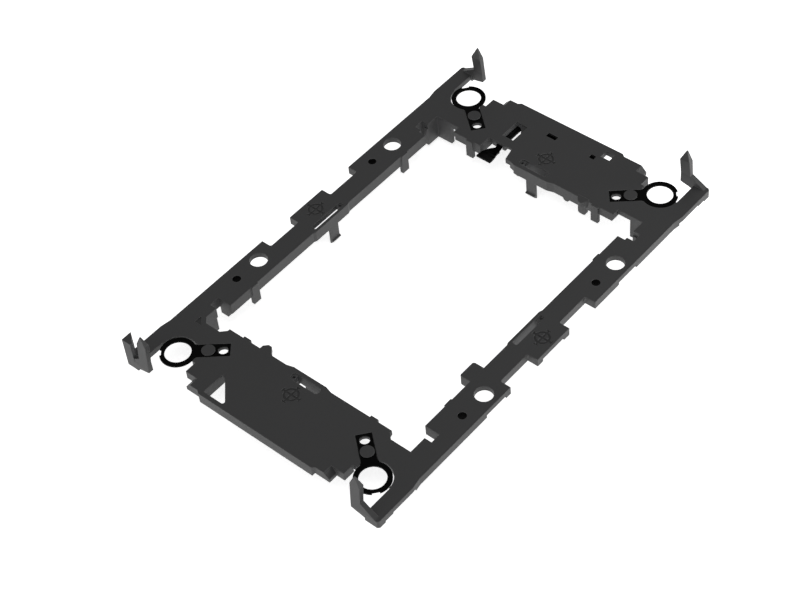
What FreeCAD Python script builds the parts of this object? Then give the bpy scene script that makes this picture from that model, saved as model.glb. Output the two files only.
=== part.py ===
import FreeCAD, Part
import math
import os
from FreeCAD import Vector

# Processor retention frame of a server socket: a moulded carrier that clips a
# processor package under a heat sink. X runs across the frame, Y along it,
# Z up towards the heat sink. The frame stands on its four hook tips at z = 0.

# Package that the opening is made for
PACKAGE_LENGTH = 77.5
PACKAGE_WIDTH = 56.5
PACKAGE_GAP = 0.25
END_GAP = 0.55

# Heights, measured down from the top face of the deck
HOOK_DROP = 7.8
DECK_THICKNESS = 1.4
SKIRT_DROP = 2.9
CORNER_SKIRT_DROP = 2.35
RAIL_SKIRT_DROP = 2.15
SKIRT_WALL = 1.0
CORNER_LEG_DROP = 6.7
RAIL_LEG_DROP = 5.4
PLATE_LEG_DROP = 5.0

# Plan of the rails
RAIL_WIDTH = 7.95
RAIL_END_STEP = 0.45
RAIL_END_WIDTH = 3.75
RAIL_END_CHAMFER = 0.45
RAIL_STEP_DISTANCE = 13.65
RAIL_STEP_RUN = 2.6
RECESS_DEPTH = 2.75
RECESS_INNER_Y = 5.65
RECESS_OUTER_Y = 15.1
RECESS_RADIUS = 0.5
HOLE_SKIRT_GAP_HALF = 3.35
TAB_SKIRT_GAP_HALF = 3.8
END_SKIRT_GAP_START = 12.05
END_SKIRT_LENGTH = 2.2
END_SKIRT_STEP_LENGTH = 4.65
END_SKIRT_STEP_DROP = 1.75

# Plan of the two end plates
FRAME_LENGTH = 118.1
LIP_SETBACK = 2.2
LIP_HALF = 16.5
LIP_SHORT_X = 13.7
LIP_STEP = 0.6
LIP_BEVEL = 0.8
STEP_1_X = 19.55
STEP_1_DEPTH = 2.3
STEP_2_X = 23.1
RAMP_RUN = 1.4

# Fastener rings, one at each corner
RING_SPACING_X = 57.0
RING_END_DISTANCE = 8.05
RING_HOLE_R = 3.05
RING_WIDTH = 1.15
RING_GAP = 0.25
CLIP_THICKNESS = 0.4
CLIP_SINK = 0.05
TAB_ANGLE = 39.5
TAB_WIDTH = 3.4
TAB_REACH = 11.6
TAB_CLEARANCE = 0.15
NECK_RADIUS = 1.3
STAKE_DISTANCE = 6.8
STAKE_R = 1.2
STAKE_HEAD_R = 1.57
STAKE_HEAD_HEIGHT = 0.25
STAKE_CLEARANCE = 0.05
TAB_HOLE_DISTANCE = 10.1
TAB_HOLE_R = 1.16
NOTCH_WIDTH = 1.7
NOTCH_DEPTH = 0.45

# Relief and slot at each corner of the opening
RELIEF_OUTWARD = 2.0
RELIEF_INWARD = 4.75
RELIEF_END_DISTANCE = 17.85
RELIEF_CHAMFER = 1.3
UPPER_RELIEF_START = 4.9
SLOT_REACH = 3.9
SLOT_WIDTH = 2.55
UPPER_SLOT_START = 4.1
LOWER_SLOT_START = 5.2
SKIRT_SETBACK = 0.4
CORNER_LEG_WALL = 1.0
CORNER_LEG_LEFT_LENGTH = 4.3
CORNER_LEG_RIGHT_LENGTH = 3.4
CORNER_LEG_Y_LENGTH = 3.75
CORNER_LEG_LOWER_LENGTH = 4.2
LUG_SETBACK = 1.5
LUG_WIDTH = 2.2
LUG_DROP = 4.8

# Springy beams that carry the package hooks
BEAM_PROUD = 0.3
BEAM_THICKNESS = 0.75
BEAM_HALF = 5.6
BEAM_TAPER = 0.7
BEAM_SLOT_HALF = 5.05
BEAM_SLOT_WIDTH = 1.3
BEAM_SLOT_RADIUS = 0.45
PLATE_BEAM_PROUD = 0.5
PLATE_BEAM_THICKNESS = 1.0
PLATE_BEAM_HALF = 4.75
PLATE_BEAM_TAPER = 1.8
PLATE_SLOT_HALF = 4.05
PLATE_SLOT_OFFSET = 0.4
PLATE_SLOT_WIDTH = 1.9
PLATE_SLOT_RADIUS = 0.75
SLOT_LEDGE_LENGTH = 1.25
SLOT_LEDGE_DEPTH = 0.3
SLOT_PIT_R = 0.36
SLOT_PIT_DEPTH = 0.9
HOOK_WIDTH = 2.7
HOOK_THICKNESS = 0.65
RAIL_HOOK_OFFSET = 0.35
HOOK_TOE = 0.45
HOOK_TOE_HEIGHT = 1.3
HOOK_CHAMFER = 0.85

# Plain guide legs
RAIL_LEG_Y = 26.3
RAIL_LEG_WIDTH = 2.2
PLATE_LEG_X = 18.6
PLATE_LEG_WIDTH = 2.0
GUIDE_LEG_THICKNESS = 0.9
GUIDE_LEG_PROUD = 0.3
PLATE_LEG_PROUD = 0.5
CATCH_LEG_X = 14.65
CATCH_LEG_WIDTH = 2.2
CATCH_LEG_DROP = 5.2
CATCH_LEG_ROUND = 0.7
CATCH_RECESS_END_X = 16.5
CATCH_RECESS_DEPTH = 0.65
NUB_R = 0.9
NUB_RISE = 0.1
NUB_X = (-4.35, 10.1)

# Holes in the rails
RAIL_HOLE_MARGIN = 3.4
RAIL_HOLE_R = 2.15
UPPER_HOLE_Y = 27.35
LOWER_HOLE_Y = -19.95
PIN_HOLE_R = 1.02
PIN_BOSS_WALL = 0.75
UPPER_PIN_Y = 19.95
LOWER_PIN_Y = -27.3

# Key tab on the right rail and rounded tab on the lower plate
KEY_REACH = 2.85
KEY_TOP_Y = -14.3
KEY_LENGTH = 4.7
KEY_RADIUS = 0.6
NOSE_X = -13.1
NOSE_HALF = 1.4
NOSE_REACH = 1.85
NOSE_TIP_HALF = 0.45
NOSE_FLARE_HALF = 1.8
NOSE_FOOT_HALF = 2.5
NOSE_FOOT_HEIGHT = 0.25
NOSE_SIDE_HEIGHT = 0.9

# Release lever and the opening for it
LEVER_X = -13.45
LEVER_DROP = 2.5
SHAFT_R = 0.9
SHAFT_CLEARANCE = 0.1
BLADE_REACH = 1.6
BLADE_HALF = 2.05
BLADE_NECK_HALF = 0.55
BLADE_THICKNESS = 0.5
BLADE_LENGTH = 5.2
BLADE_BULGE = 0.85
BLADE_TILT = 4.5
HANDLE_END_DISTANCE = 5.35
HANDLE_WIDTH = 2.2
HANDLE_THICKNESS = 1.7
HANDLE_END_X = 9.3
HANDLE_GRIP_LENGTH = 4.5
HANDLE_GRIP_HEIGHT = 0.8
HANDLE_CLEARANCE = 0.35
HANDLE_COVER = 0.6
BEARING_LENGTH = 1.3
BEARING_WALL = 0.8
BEARING_THROAT = 0.8
BEARING_NEAR_DISTANCE = 1.8
BEARING_END_DISTANCE = 7.15
NOTCH_LEFT_X = -15.5
NOTCH_RIGHT_X = -8.6
NOTCH_REACH = 3.5
NOTCH_FLARE = 0.8
NOTCH_LIP = 0.6
NOTCH_RIB_LENGTH = 5.2
NOTCH_SKIRT_START = 2.1
NOTCH_SKIRT_STEP = 1.3
NOTCH_SKIRT_DROP = 2.2

# Windows and cut-outs in the end plates: left, right, then distances from the frame's end
LEVER_WINDOW = (-13.4, -10.2, 13.75, 8.0)
LEVER_WINDOW_CUT_X = 1.7
LEVER_WINDOW_CUT_Y = 2.9
LEVER_SINK_DEPTH = 0.25
HANDLE_WINDOW = (-4.85, -2.05, 7.85, 6.55)
SQUARE_WINDOW = (7.8, 9.2, 7.85, 6.55)
FINGER_WINDOW = (10.0, 12.5, 5.95, 3.65)
FINGER_GAP_HALF = 3.0
TRIANGLE_X = -15.9
TRIANGLE_MARGIN = 1.1
TRIANGLE_WIDTH = 6.45
TRIANGLE_HEIGHT = 6.75
TRIANGLE_RADIUS = 0.5
RIB_WALL = 0.8

# Shallow marks: four pressing points and the corner triangle
MARK_DEPTH = 0.2
MARK_RING_R = 1.6
MARK_STROKE = 0.55
MARK_ARM = 2.55
MARK_FOOT = 0.55
MARK_PLATE_DISTANCE = 5.6
MARK_RAIL_MARGIN = 3.1
CORNER_MARK_REACH = 3.2
CORNER_MARK_GAP = 1.1
CORNER_MARK_SIZE = 2.0

# Corner posts that snap round the heat sink
POST_SETBACK = 7.4
POST_WIDTH = 2.65
POST_HEIGHT = 9.65
POST_SHOULDER = 7.1
POST_THICKNESS = 1.3
POST_LEAN = 0.6
POST_TIP_OUT = 0.25
POST_FOOT_RISE = 1.7
WEB_HEIGHT = 2.4
WEB_RUN = 3.85
POST_TIP = 0.3
KEY_POST_WIDTH = 2.6
KEY_POST_LENGTH = 2.75
KEY_POST_HEIGHT = 6.1
KEY_POST_CORNER = 0.8

# Values that follow from the sizes above
TOP = HOOK_DROP
DECK_BOTTOM = TOP - DECK_THICKNESS
SKIRT_BOTTOM = TOP - SKIRT_DROP
CORNER_SKIRT_BOTTOM = TOP - CORNER_SKIRT_DROP
RAIL_SKIRT_BOTTOM = TOP - RAIL_SKIRT_DROP
OPEN_X = PACKAGE_WIDTH / 2 + PACKAGE_GAP
OPEN_Y = PACKAGE_LENGTH / 2 + END_GAP
RAIL_X = OPEN_X + RAIL_WIDTH
RECESS_X = RAIL_X - RECESS_DEPTH
END_X = RAIL_X + RAIL_END_STEP
END_Y = FRAME_LENGTH / 2
END_INNER_X = END_X - RAIL_END_WIDTH
RAIL_STEP_Y = END_Y - RAIL_STEP_DISTANCE
LIP_Y = END_Y - LIP_SETBACK
RING_X = RING_SPACING_X / 2
RING_Y = END_Y - RING_END_DISTANCE
RING_R = RING_HOLE_R + RING_WIDTH
RING_CUT_R = RING_R + RING_GAP
CLIP_TOP = TOP - CLIP_SINK
CLIP_BOTTOM = CLIP_TOP - CLIP_THICKNESS
LEVER_Z = TOP - LEVER_DROP
PLATE_EDGE_Y = LIP_Y - LIP_STEP
STEP_1_Y = PLATE_EDGE_Y - STEP_1_DEPTH
RELIEF_X = OPEN_X + RELIEF_OUTWARD
RELIEF_INNER_X = OPEN_X - RELIEF_INWARD
RELIEF_Y = END_Y - RELIEF_END_DISTANCE
SLOT_X = OPEN_X + SLOT_REACH
UPPER_SLOT_Y = OPEN_Y - UPPER_SLOT_START
LOWER_SLOT_Y = OPEN_Y - LOWER_SLOT_START
RAIL_HOLE_X = RAIL_X - RAIL_HOLE_MARGIN
NOTCH_TOP_Y = OPEN_Y + NOTCH_REACH
HANDLE_Y = END_Y - HANDLE_END_DISTANCE
BEAM_FACE_X = OPEN_X - BEAM_PROUD
PLATE_BEAM_FACE_Y = OPEN_Y - PLATE_BEAM_PROUD
PLATE_SLOT_Y = PLATE_BEAM_FACE_Y + PLATE_BEAM_THICKNESS
CUT_MARGIN = 1.0


def box(x0, x1, y0, y1, z0, z1):
    """Block between two corners, given in any order."""
    low = Vector(min(x0, x1), min(y0, y1), min(z0, z1))
    return Part.makeBox(abs(x1 - x0), abs(y1 - y0), abs(z1 - z0), low)


def prism(points, z0, z1):
    """Upright prism over a plan outline."""
    corners = [Vector(x, y, z0) for x, y in points]
    outline = Part.makePolygon(corners + corners[:1])
    return Part.Face(outline).extrude(Vector(0, 0, z1 - z0))


def profile_along_x(points, x0, x1):
    """Solid with a section of (y, z) points, drawn out along X."""
    corners = [Vector(x0, y, z) for y, z in points]
    face = Part.Face(Part.makePolygon(corners + corners[:1]))
    return face.extrude(Vector(x1 - x0, 0, 0))


def profile_along_y(points, y0, y1):
    """Solid with a section of (x, z) points, drawn out along Y."""
    corners = [Vector(x, y0, z) for x, z in points]
    face = Part.Face(Part.makePolygon(corners + corners[:1]))
    return face.extrude(Vector(0, y1 - y0, 0))


def cylinder(x, y, radius, z0, z1):
    """Upright cylinder."""
    return Part.makeCylinder(radius, z1 - z0, Vector(x, y, z0))


def fuse_all(shapes):
    """One shape out of many that meet."""
    first = shapes[0]
    return first.multiFuse(shapes[1:]) if len(shapes) > 1 else first


def mirror_x(shape):
    """Copy on the other side of the frame's long centre line."""
    return shape.mirror(Vector(0, 0, 0), Vector(1, 0, 0))


def mirror_y(shape):
    """Copy on the other side of the frame's short centre line."""
    return shape.mirror(Vector(0, 0, 0), Vector(0, 1, 0))


def both_sides(shapes):
    """Shapes of the right rail and their mirror images on the left."""
    return shapes + [mirror_x(s) for s in shapes]


def both_ends(shapes):
    """Shapes of the upper end and their mirror images at the lower end."""
    return shapes + [mirror_y(s) for s in shapes]


def four_corners(shape):
    """A corner feature and its three mirror images."""
    return both_sides(both_ends([shape]))


def mirrored_loop(quarter):
    """Closed outline from the points of its first quadrant."""
    upper_right = list(quarter)
    lower_right = [(x, -y) for x, y in reversed(quarter)]
    lower_left = [(-x, -y) for x, y in quarter]
    upper_left = [(-x, y) for x, y in reversed(quarter)]
    return upper_right + lower_right + lower_left + upper_left


def round_uprights(shape, radius, places):
    """Fillet the upright edges that stand at the given plan places."""
    edges = []
    for edge in shape.Edges:
        ends = [v.Point for v in edge.Vertexes]
        if len(ends) < 2 or (ends[0] - ends[1]).cross(Vector(0, 0, 1)).Length > 1e-6:
            continue
        for x, y in places:
            if abs(ends[0].x - x) < 1e-4 and abs(ends[0].y - y) < 1e-4:
                edges.append(edge)
    return shape.makeFillet(radius, edges) if edges else shape


def outer_points():
    """First quadrant of the deck's outer outline, from plate to rail."""
    return [
        (LIP_HALF, LIP_Y),
        (LIP_HALF + LIP_BEVEL, PLATE_EDGE_Y),
        (STEP_1_X, PLATE_EDGE_Y),
        (STEP_1_X, STEP_1_Y),
        (STEP_2_X, STEP_1_Y),
        (STEP_2_X, RING_Y),
        (END_INNER_X, RING_Y),
        (END_INNER_X, END_Y),
        (END_X, END_Y),
        (END_X, RAIL_STEP_Y + RAIL_STEP_RUN),
        (RAIL_X, RAIL_STEP_Y),
        (RAIL_X, RECESS_OUTER_Y),
        (RECESS_X, RECESS_OUTER_Y),
        (RECESS_X, RECESS_INNER_Y),
        (RAIL_X, RECESS_INNER_Y),
    ]


def notch_outline(left, right, top):
    """Plan of the lever's notch in the upper plate, with a flared right edge."""
    return [
        (left, OPEN_Y - CUT_MARGIN),
        (left, top),
        (right, top),
        (right + NOTCH_FLARE, OPEN_Y),
        (right + NOTCH_FLARE, OPEN_Y - CUT_MARGIN),
    ]


def relief_plan(side, end, grow):
    """Plan of the relief at one corner of the opening."""
    inner_y = OPEN_Y - UPPER_RELIEF_START if end > 0 else LOWER_SLOT_Y
    far_x = RELIEF_X + grow
    near_x = RELIEF_INNER_X - grow
    far_y = RELIEF_Y + grow
    cut = RELIEF_CHAMFER if end < 0 else 0
    points = [
        (near_x, inner_y - grow),
        (near_x, far_y - cut),
        (near_x + cut, far_y),
        (far_x - cut * (side < 0), far_y),
        (far_x, far_y - cut * (side < 0)),
        (far_x, inner_y - grow),
    ]
    unique = []
    for point in points:
        if point not in unique:
            unique.append(point)
    return [(side * x, end * y) for x, y in unique]


def opening(grow, z0, z1):
    """The central opening with its corner reliefs and slots."""
    shapes = [box(-OPEN_X - grow, OPEN_X + grow, -OPEN_Y - grow, OPEN_Y + grow, z0, z1)]
    for side in (-1, 1):
        for end in (-1, 1):
            slot_y = UPPER_SLOT_Y if end > 0 else LOWER_SLOT_Y
            shapes.append(prism(relief_plan(side, end, grow), z0, z1))
            shapes.append(box(side * (OPEN_X - grow), side * (SLOT_X + grow),
                              end * (slot_y - grow), end * (slot_y + SLOT_WIDTH + grow), z0, z1))
    return fuse_all(shapes)


def deck():
    """The flat top of the frame."""
    plate = prism(mirrored_loop(outer_points()), DECK_BOTTOM, TOP)
    corners = [
        (sx * RECESS_X, sy * y)
        for sx in (-1, 1)
        for sy in (-1, 1)
        for y in (RECESS_INNER_Y, RECESS_OUTER_Y)
    ]
    plate = round_uprights(plate, RECESS_RADIUS, corners)
    short_lip = prism([
        (LIP_SHORT_X, LIP_Y + CUT_MARGIN),
        (LIP_SHORT_X, LIP_Y),
        (LIP_SHORT_X + LIP_BEVEL, PLATE_EDGE_Y),
        (LIP_HALF + CUT_MARGIN, PLATE_EDGE_Y),
        (LIP_HALF + CUT_MARGIN, LIP_Y + CUT_MARGIN),
    ], 0, TOP + 1)
    bites = four_corners(cylinder(RING_X, RING_Y, RING_CUT_R, DECK_BOTTOM - 1, TOP + 1))
    return plate.cut(fuse_all(bites + [short_lip]))


def inner_skirt():
    """Wall that hangs from the edge of the opening."""
    outline = mirrored_loop(outer_points())
    blank = opening(SKIRT_WALL, SKIRT_BOTTOM, DECK_BOTTOM).common(prism(outline, 0, TOP))
    trims = []
    for side in (-1, 1):
        for end in (-1, 1):
            trims.append(box(side * PLATE_LEG_X, side * OPEN_X, end * (OPEN_Y - CUT_MARGIN),
                             end * (RELIEF_Y + CUT_MARGIN), 0, CORNER_SKIRT_BOTTOM))
            trims.append(box(side * (RELIEF_INNER_X - SKIRT_SETBACK), side * OPEN_X,
                             end * (OPEN_Y - CUT_MARGIN), end * (RELIEF_Y + SKIRT_WALL), 0, DECK_BOTTOM))
    return blank.cut(fuse_all(trims))


def rail_skirts():
    """Walls that hang from the outer edges of the rails."""
    outline = mirrored_loop(outer_points())
    hollow = mirrored_loop([
        (END_X - SKIRT_WALL, END_Y - SKIRT_WALL),
        (END_X - SKIRT_WALL, RAIL_STEP_Y + RAIL_STEP_RUN),
        (RAIL_X - SKIRT_WALL, RAIL_STEP_Y),
        (RAIL_X - SKIRT_WALL, RECESS_OUTER_Y + SKIRT_WALL),
        (RECESS_X - SKIRT_WALL, RECESS_OUTER_Y + SKIRT_WALL),
        (RECESS_X - SKIRT_WALL, RECESS_INNER_Y - SKIRT_WALL),
        (RAIL_X - SKIRT_WALL, RECESS_INNER_Y - SKIRT_WALL),
    ])
    blank = prism(outline, RAIL_SKIRT_BOTTOM, DECK_BOTTOM)
    walls = blank.cut(prism(hollow, RAIL_SKIRT_BOTTOM - 1, TOP))
    keep = []
    gaps = []
    for side in (-1, 1):
        inside = side * (OPEN_X + SKIRT_WALL)
        outside = side * (END_X + CUT_MARGIN)
        keep.append(box(inside, outside, -END_Y - 1, END_Y + 1, 0, TOP))
        for y in (UPPER_HOLE_Y, LOWER_HOLE_Y):
            gaps.append(box(side * RAIL_HOLE_X, outside, y - HOLE_SKIRT_GAP_HALF,
                            y + HOLE_SKIRT_GAP_HALF, 0, TOP))
        gaps.append(box(side * RAIL_HOLE_X, outside, -TAB_SKIRT_GAP_HALF, TAB_SKIRT_GAP_HALF, 0, TOP))
        for end in (-1, 1):
            gaps.append(box(inside, outside, end * (END_Y - END_SKIRT_GAP_START),
                            end * (END_Y - END_SKIRT_STEP_LENGTH), 0, TOP))
            gaps.append(box(inside, outside, end * (END_Y - END_SKIRT_STEP_LENGTH),
                            end * (END_Y - END_SKIRT_LENGTH), 0, TOP - END_SKIRT_STEP_DROP))
    return walls.common(fuse_all(keep)).cut(fuse_all(gaps))


def plate_skirts():
    """Walls that hang from the stepped outer edges of the end plates."""
    wall = SKIRT_WALL
    bottom = CORNER_SKIRT_BOTTOM
    corner = [
        box(LIP_HALF - wall, STEP_1_X, PLATE_EDGE_Y - wall, PLATE_EDGE_Y, bottom, DECK_BOTTOM),
        box(STEP_1_X - wall, STEP_1_X, STEP_1_Y - wall, PLATE_EDGE_Y, bottom, DECK_BOTTOM),
        box(STEP_1_X - wall, STEP_2_X, STEP_1_Y - wall, STEP_1_Y, bottom, DECK_BOTTOM),
        box(STEP_2_X - wall, STEP_2_X, RING_Y, STEP_1_Y, bottom, DECK_BOTTOM),
    ]
    ramp = profile_along_y([
        (STEP_1_X, TOP),
        (STEP_1_X + RAMP_RUN, TOP - RAMP_RUN),
        (STEP_1_X + RAMP_RUN, bottom),
        (STEP_1_X, bottom),
    ], STEP_1_Y, PLATE_EDGE_Y)
    walls = []
    for shape in corner + [ramp]:
        walls += four_corners(shape)
    lip = box(-LIP_HALF, LIP_HALF, LIP_Y - wall, LIP_Y, SKIRT_BOTTOM, DECK_BOTTOM)
    middle = (FINGER_WINDOW[0] + FINGER_WINDOW[1]) / 2
    gap = box(middle - FINGER_GAP_HALF, LIP_HALF + 1, 0, LIP_Y + 1, 0, DECK_BOTTOM)
    return walls + [mirror_y(lip), lip.cut(gap)]


def corner_legs():
    """Angle-shaped legs that find the corners of the socket."""
    wall = CORNER_LEG_WALL
    bottom = TOP - CORNER_LEG_DROP
    legs = []
    for side in (-1, 1):
        length = CORNER_LEG_LEFT_LENGTH if side < 0 else CORNER_LEG_RIGHT_LENGTH
        for end in (-1, 1):
            reach = CORNER_LEG_Y_LENGTH if end > 0 else CORNER_LEG_LOWER_LENGTH
            across = box(side * (RELIEF_X - length), side * (RELIEF_X + wall),
                         end * RELIEF_Y, end * (RELIEF_Y + wall), bottom, DECK_BOTTOM)
            along = box(side * RELIEF_X, side * (RELIEF_X + wall),
                        end * (RELIEF_Y - reach), end * (RELIEF_Y + wall), bottom, DECK_BOTTOM)
            legs.append(across.fuse(along))
    lug_x = -OPEN_X - LUG_SETBACK
    lug = box(lug_x, lug_x - LUG_WIDTH, -LOWER_SLOT_Y, -LOWER_SLOT_Y + SKIRT_WALL,
              TOP - LUG_DROP, DECK_BOTTOM)
    return legs + [lug]


def hook_profile(face, thickness):
    """Section of a package hook: distance from the centre line, then height."""
    tip = TOP - HOOK_DROP
    toe_top = tip + HOOK_TOE_HEIGHT
    return [
        (face + thickness, DECK_BOTTOM),
        (face + thickness, tip),
        (face - HOOK_TOE + HOOK_CHAMFER, tip),
        (face - HOOK_TOE, tip + HOOK_CHAMFER),
        (face - HOOK_TOE, toe_top - HOOK_TOE / 2),
        (face, toe_top),
        (face, DECK_BOTTOM),
    ]


def slot_cut(x0, x1, y0, y1, radius, free_end):
    """Through slot with rounded corners at its free end."""
    return round_uprights(box(x0, x1, y0, y1, 0, TOP + 1), radius, free_end)


def slot_ledge(x0, x1, y0, y1, radius, pit_x, pit_y):
    """Shallow sunk ledge that lengthens a slot at one end, with a small pit in it."""
    places = [(x, y) for x in (x0, x1) for y in (y0, y1)]
    ledge = round_uprights(box(x0, x1, y0, y1, TOP - SLOT_LEDGE_DEPTH, TOP + 1), radius, places)
    return ledge.fuse(cylinder(pit_x, pit_y, SLOT_PIT_R, TOP - SLOT_PIT_DEPTH, TOP))


def rail_beam():
    """Springy beam and hook in the middle of the right rail, and the slot behind it."""
    face = BEAM_FACE_X
    bulge = prism([
        (OPEN_X, -BEAM_HALF - BEAM_TAPER),
        (face, -BEAM_HALF),
        (face, BEAM_HALF),
        (OPEN_X, BEAM_HALF + BEAM_TAPER),
    ], SKIRT_BOTTOM, TOP)
    start = RAIL_HOOK_OFFSET - HOOK_WIDTH / 2
    hook = profile_along_y(hook_profile(face, HOOK_THICKNESS), start, start + HOOK_WIDTH)
    slot_x = face + BEAM_THICKNESS
    far_x = slot_x + BEAM_SLOT_WIDTH
    end_y = BEAM_SLOT_HALF - SLOT_LEDGE_LENGTH
    slot = slot_cut(slot_x, far_x, -BEAM_SLOT_HALF, end_y, BEAM_SLOT_RADIUS,
                    [(slot_x, -BEAM_SLOT_HALF), (far_x, -BEAM_SLOT_HALF)])
    ledge = slot_ledge(slot_x, far_x, end_y - BEAM_SLOT_WIDTH, BEAM_SLOT_HALF, BEAM_SLOT_RADIUS,
                       (slot_x + far_x) / 2, BEAM_SLOT_HALF - SLOT_LEDGE_LENGTH / 2)
    return [bulge, hook], slot.fuse(ledge)


def plate_beam():
    """Springy beam and hook of the upper plate, and the rib behind its slot."""
    face = PLATE_BEAM_FACE_Y
    bulge = prism([
        (-PLATE_BEAM_HALF - PLATE_BEAM_TAPER, OPEN_Y),
        (-PLATE_BEAM_HALF, face),
        (PLATE_BEAM_HALF, face),
        (PLATE_BEAM_HALF + PLATE_BEAM_TAPER, OPEN_Y),
    ], SKIRT_BOTTOM, TOP)
    hook = profile_along_x(hook_profile(face, HOOK_THICKNESS), -HOOK_WIDTH / 2, HOOK_WIDTH / 2)
    half = PLATE_SLOT_HALF + PLATE_SLOT_OFFSET + RIB_WALL
    rib = box(-half, half, PLATE_SLOT_Y + PLATE_SLOT_WIDTH,
              PLATE_SLOT_Y + PLATE_SLOT_WIDTH + RIB_WALL, SKIRT_BOTTOM, DECK_BOTTOM)
    return [bulge, hook, rib]


def plate_slots():
    """Slots behind the springy beams of the end plates, each a little off centre."""
    cuts = []
    for end in (-1, 1):
        middle = -end * PLATE_SLOT_OFFSET
        start = middle - PLATE_SLOT_HALF
        near = end * PLATE_SLOT_Y
        far = end * (PLATE_SLOT_Y + PLATE_SLOT_WIDTH)
        stop = middle + PLATE_SLOT_HALF
        cuts.append(slot_cut(start + SLOT_LEDGE_LENGTH, stop, near, far, PLATE_SLOT_RADIUS,
                             [(stop, near), (stop, far)]))
        cuts.append(slot_ledge(start, start + SLOT_LEDGE_LENGTH + PLATE_SLOT_WIDTH, near, far, PLATE_SLOT_RADIUS,
                               start + SLOT_LEDGE_LENGTH / 2, (near + far) / 2))
    return cuts


def guide_legs():
    """Plain legs beside the package, two on each side of the opening."""
    face_x = OPEN_X - GUIDE_LEG_PROUD
    face_y = OPEN_Y - PLATE_LEG_PROUD
    rail_leg = box(face_x, face_x + GUIDE_LEG_THICKNESS, RAIL_LEG_Y - RAIL_LEG_WIDTH / 2,
                   RAIL_LEG_Y + RAIL_LEG_WIDTH / 2, TOP - RAIL_LEG_DROP, TOP)
    plate_leg = box(PLATE_LEG_X - PLATE_LEG_WIDTH / 2, PLATE_LEG_X + PLATE_LEG_WIDTH / 2,
                    face_y, face_y + GUIDE_LEG_THICKNESS, TOP - PLATE_LEG_DROP, TOP)
    return four_corners(rail_leg) + four_corners(plate_leg)


def catch_leg():
    """Rounded leg in a small recess of the upper plate's edge, and the recess itself."""
    x0 = CATCH_LEG_X - CATCH_LEG_WIDTH / 2
    x1 = CATCH_LEG_X + CATCH_LEG_WIDTH / 2
    leg = box(x0, x1, OPEN_Y, OPEN_Y + SKIRT_WALL, TOP - CATCH_LEG_DROP, DECK_BOTTOM)
    edges = []
    for edge in leg.Edges:
        ends = [v.Point for v in edge.Vertexes]
        low = max(p.z for p in ends) < TOP - CATCH_LEG_DROP + 1e-6
        if low and abs(ends[0].x - ends[1].x) < 1e-6:
            edges.append(edge)
    leg = leg.makeFillet(CATCH_LEG_ROUND, edges)
    recess = box(x0, CATCH_RECESS_END_X, OPEN_Y - CUT_MARGIN, OPEN_Y + CATCH_RECESS_DEPTH,
                 DECK_BOTTOM, TOP + 1)
    split = box(x1, CATCH_RECESS_END_X, OPEN_Y - CUT_MARGIN, OPEN_Y + CATCH_RECESS_DEPTH,
                SKIRT_BOTTOM - 1, TOP + 1)
    return leg, recess.fuse(split)


def nubs():
    """Round nubs under the skirt of the upper plate."""
    shapes = []
    for x in NUB_X:
        centre = Vector(x, OPEN_Y, SKIRT_BOTTOM + NUB_RISE)
        shapes.append(Part.makeCylinder(NUB_R, SKIRT_WALL, centre, Vector(0, 1, 0)))
    return shapes


def key_tab():
    """Rounded key on the inner edge of the right rail."""
    x0 = OPEN_X - KEY_REACH
    y0 = KEY_TOP_Y - KEY_LENGTH
    block = box(x0, OPEN_X + SKIRT_WALL, y0, KEY_TOP_Y, SKIRT_BOTTOM, TOP)
    block = round_uprights(block, KEY_RADIUS, [(x0, KEY_TOP_Y)])
    return round_uprights(block, KEY_RADIUS / 2, [(x0, y0)])


def nose_tab():
    """Rounded nose on the inner edge of the lower plate."""
    edge = -OPEN_Y
    tip = edge + NOSE_REACH
    return prism([
        (NOSE_X - NOSE_HALF, edge - SKIRT_WALL),
        (NOSE_X - NOSE_HALF, edge + NOSE_SIDE_HEIGHT),
        (NOSE_X - NOSE_TIP_HALF, tip),
        (NOSE_X + NOSE_TIP_HALF, tip),
        (NOSE_X + NOSE_FLARE_HALF, edge + NOSE_FOOT_HEIGHT),
        (NOSE_X + NOSE_FOOT_HALF, edge),
        (NOSE_X + NOSE_FOOT_HALF, edge - SKIRT_WALL),
    ], DECK_BOTTOM, TOP)


def post():
    """Snap post at the upper right corner, with the web that joins it to the rail."""
    inner_x = END_X - POST_SETBACK
    outer_x = inner_x + POST_WIDTH
    middle = inner_x + POST_WIDTH / 2
    foot = RAIL_SKIRT_BOTTOM + POST_FOOT_RISE
    blank = profile_along_y([
        (inner_x, foot),
        (END_X, RAIL_SKIRT_BOTTOM),
        (END_X, TOP),
        (outer_x + WEB_RUN, TOP),
        (outer_x, TOP + WEB_HEIGHT),
        (outer_x, TOP + POST_SHOULDER),
        (middle + POST_TIP / 2, TOP + POST_HEIGHT),
        (middle - POST_TIP / 2, TOP + POST_HEIGHT),
        (inner_x, TOP + POST_SHOULDER),
    ], END_Y - POST_THICKNESS - POST_LEAN - CUT_MARGIN, END_Y + CUT_MARGIN)
    inner_y = END_Y - POST_THICKNESS
    tip_y = END_Y - POST_LEAN - POST_THICKNESS / 2 + POST_TIP_OUT
    section = profile_along_x([
        (inner_y, 0),
        (inner_y, TOP + WEB_HEIGHT),
        (inner_y - POST_LEAN, TOP + POST_SHOULDER),
        (tip_y - POST_TIP / 2, TOP + POST_HEIGHT),
        (tip_y + POST_TIP / 2, TOP + POST_HEIGHT),
        (END_Y - POST_LEAN, TOP + POST_SHOULDER),
        (END_Y, TOP),
        (END_Y, 0),
    ], 0, END_X + 1)
    return blank.common(section)


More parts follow.
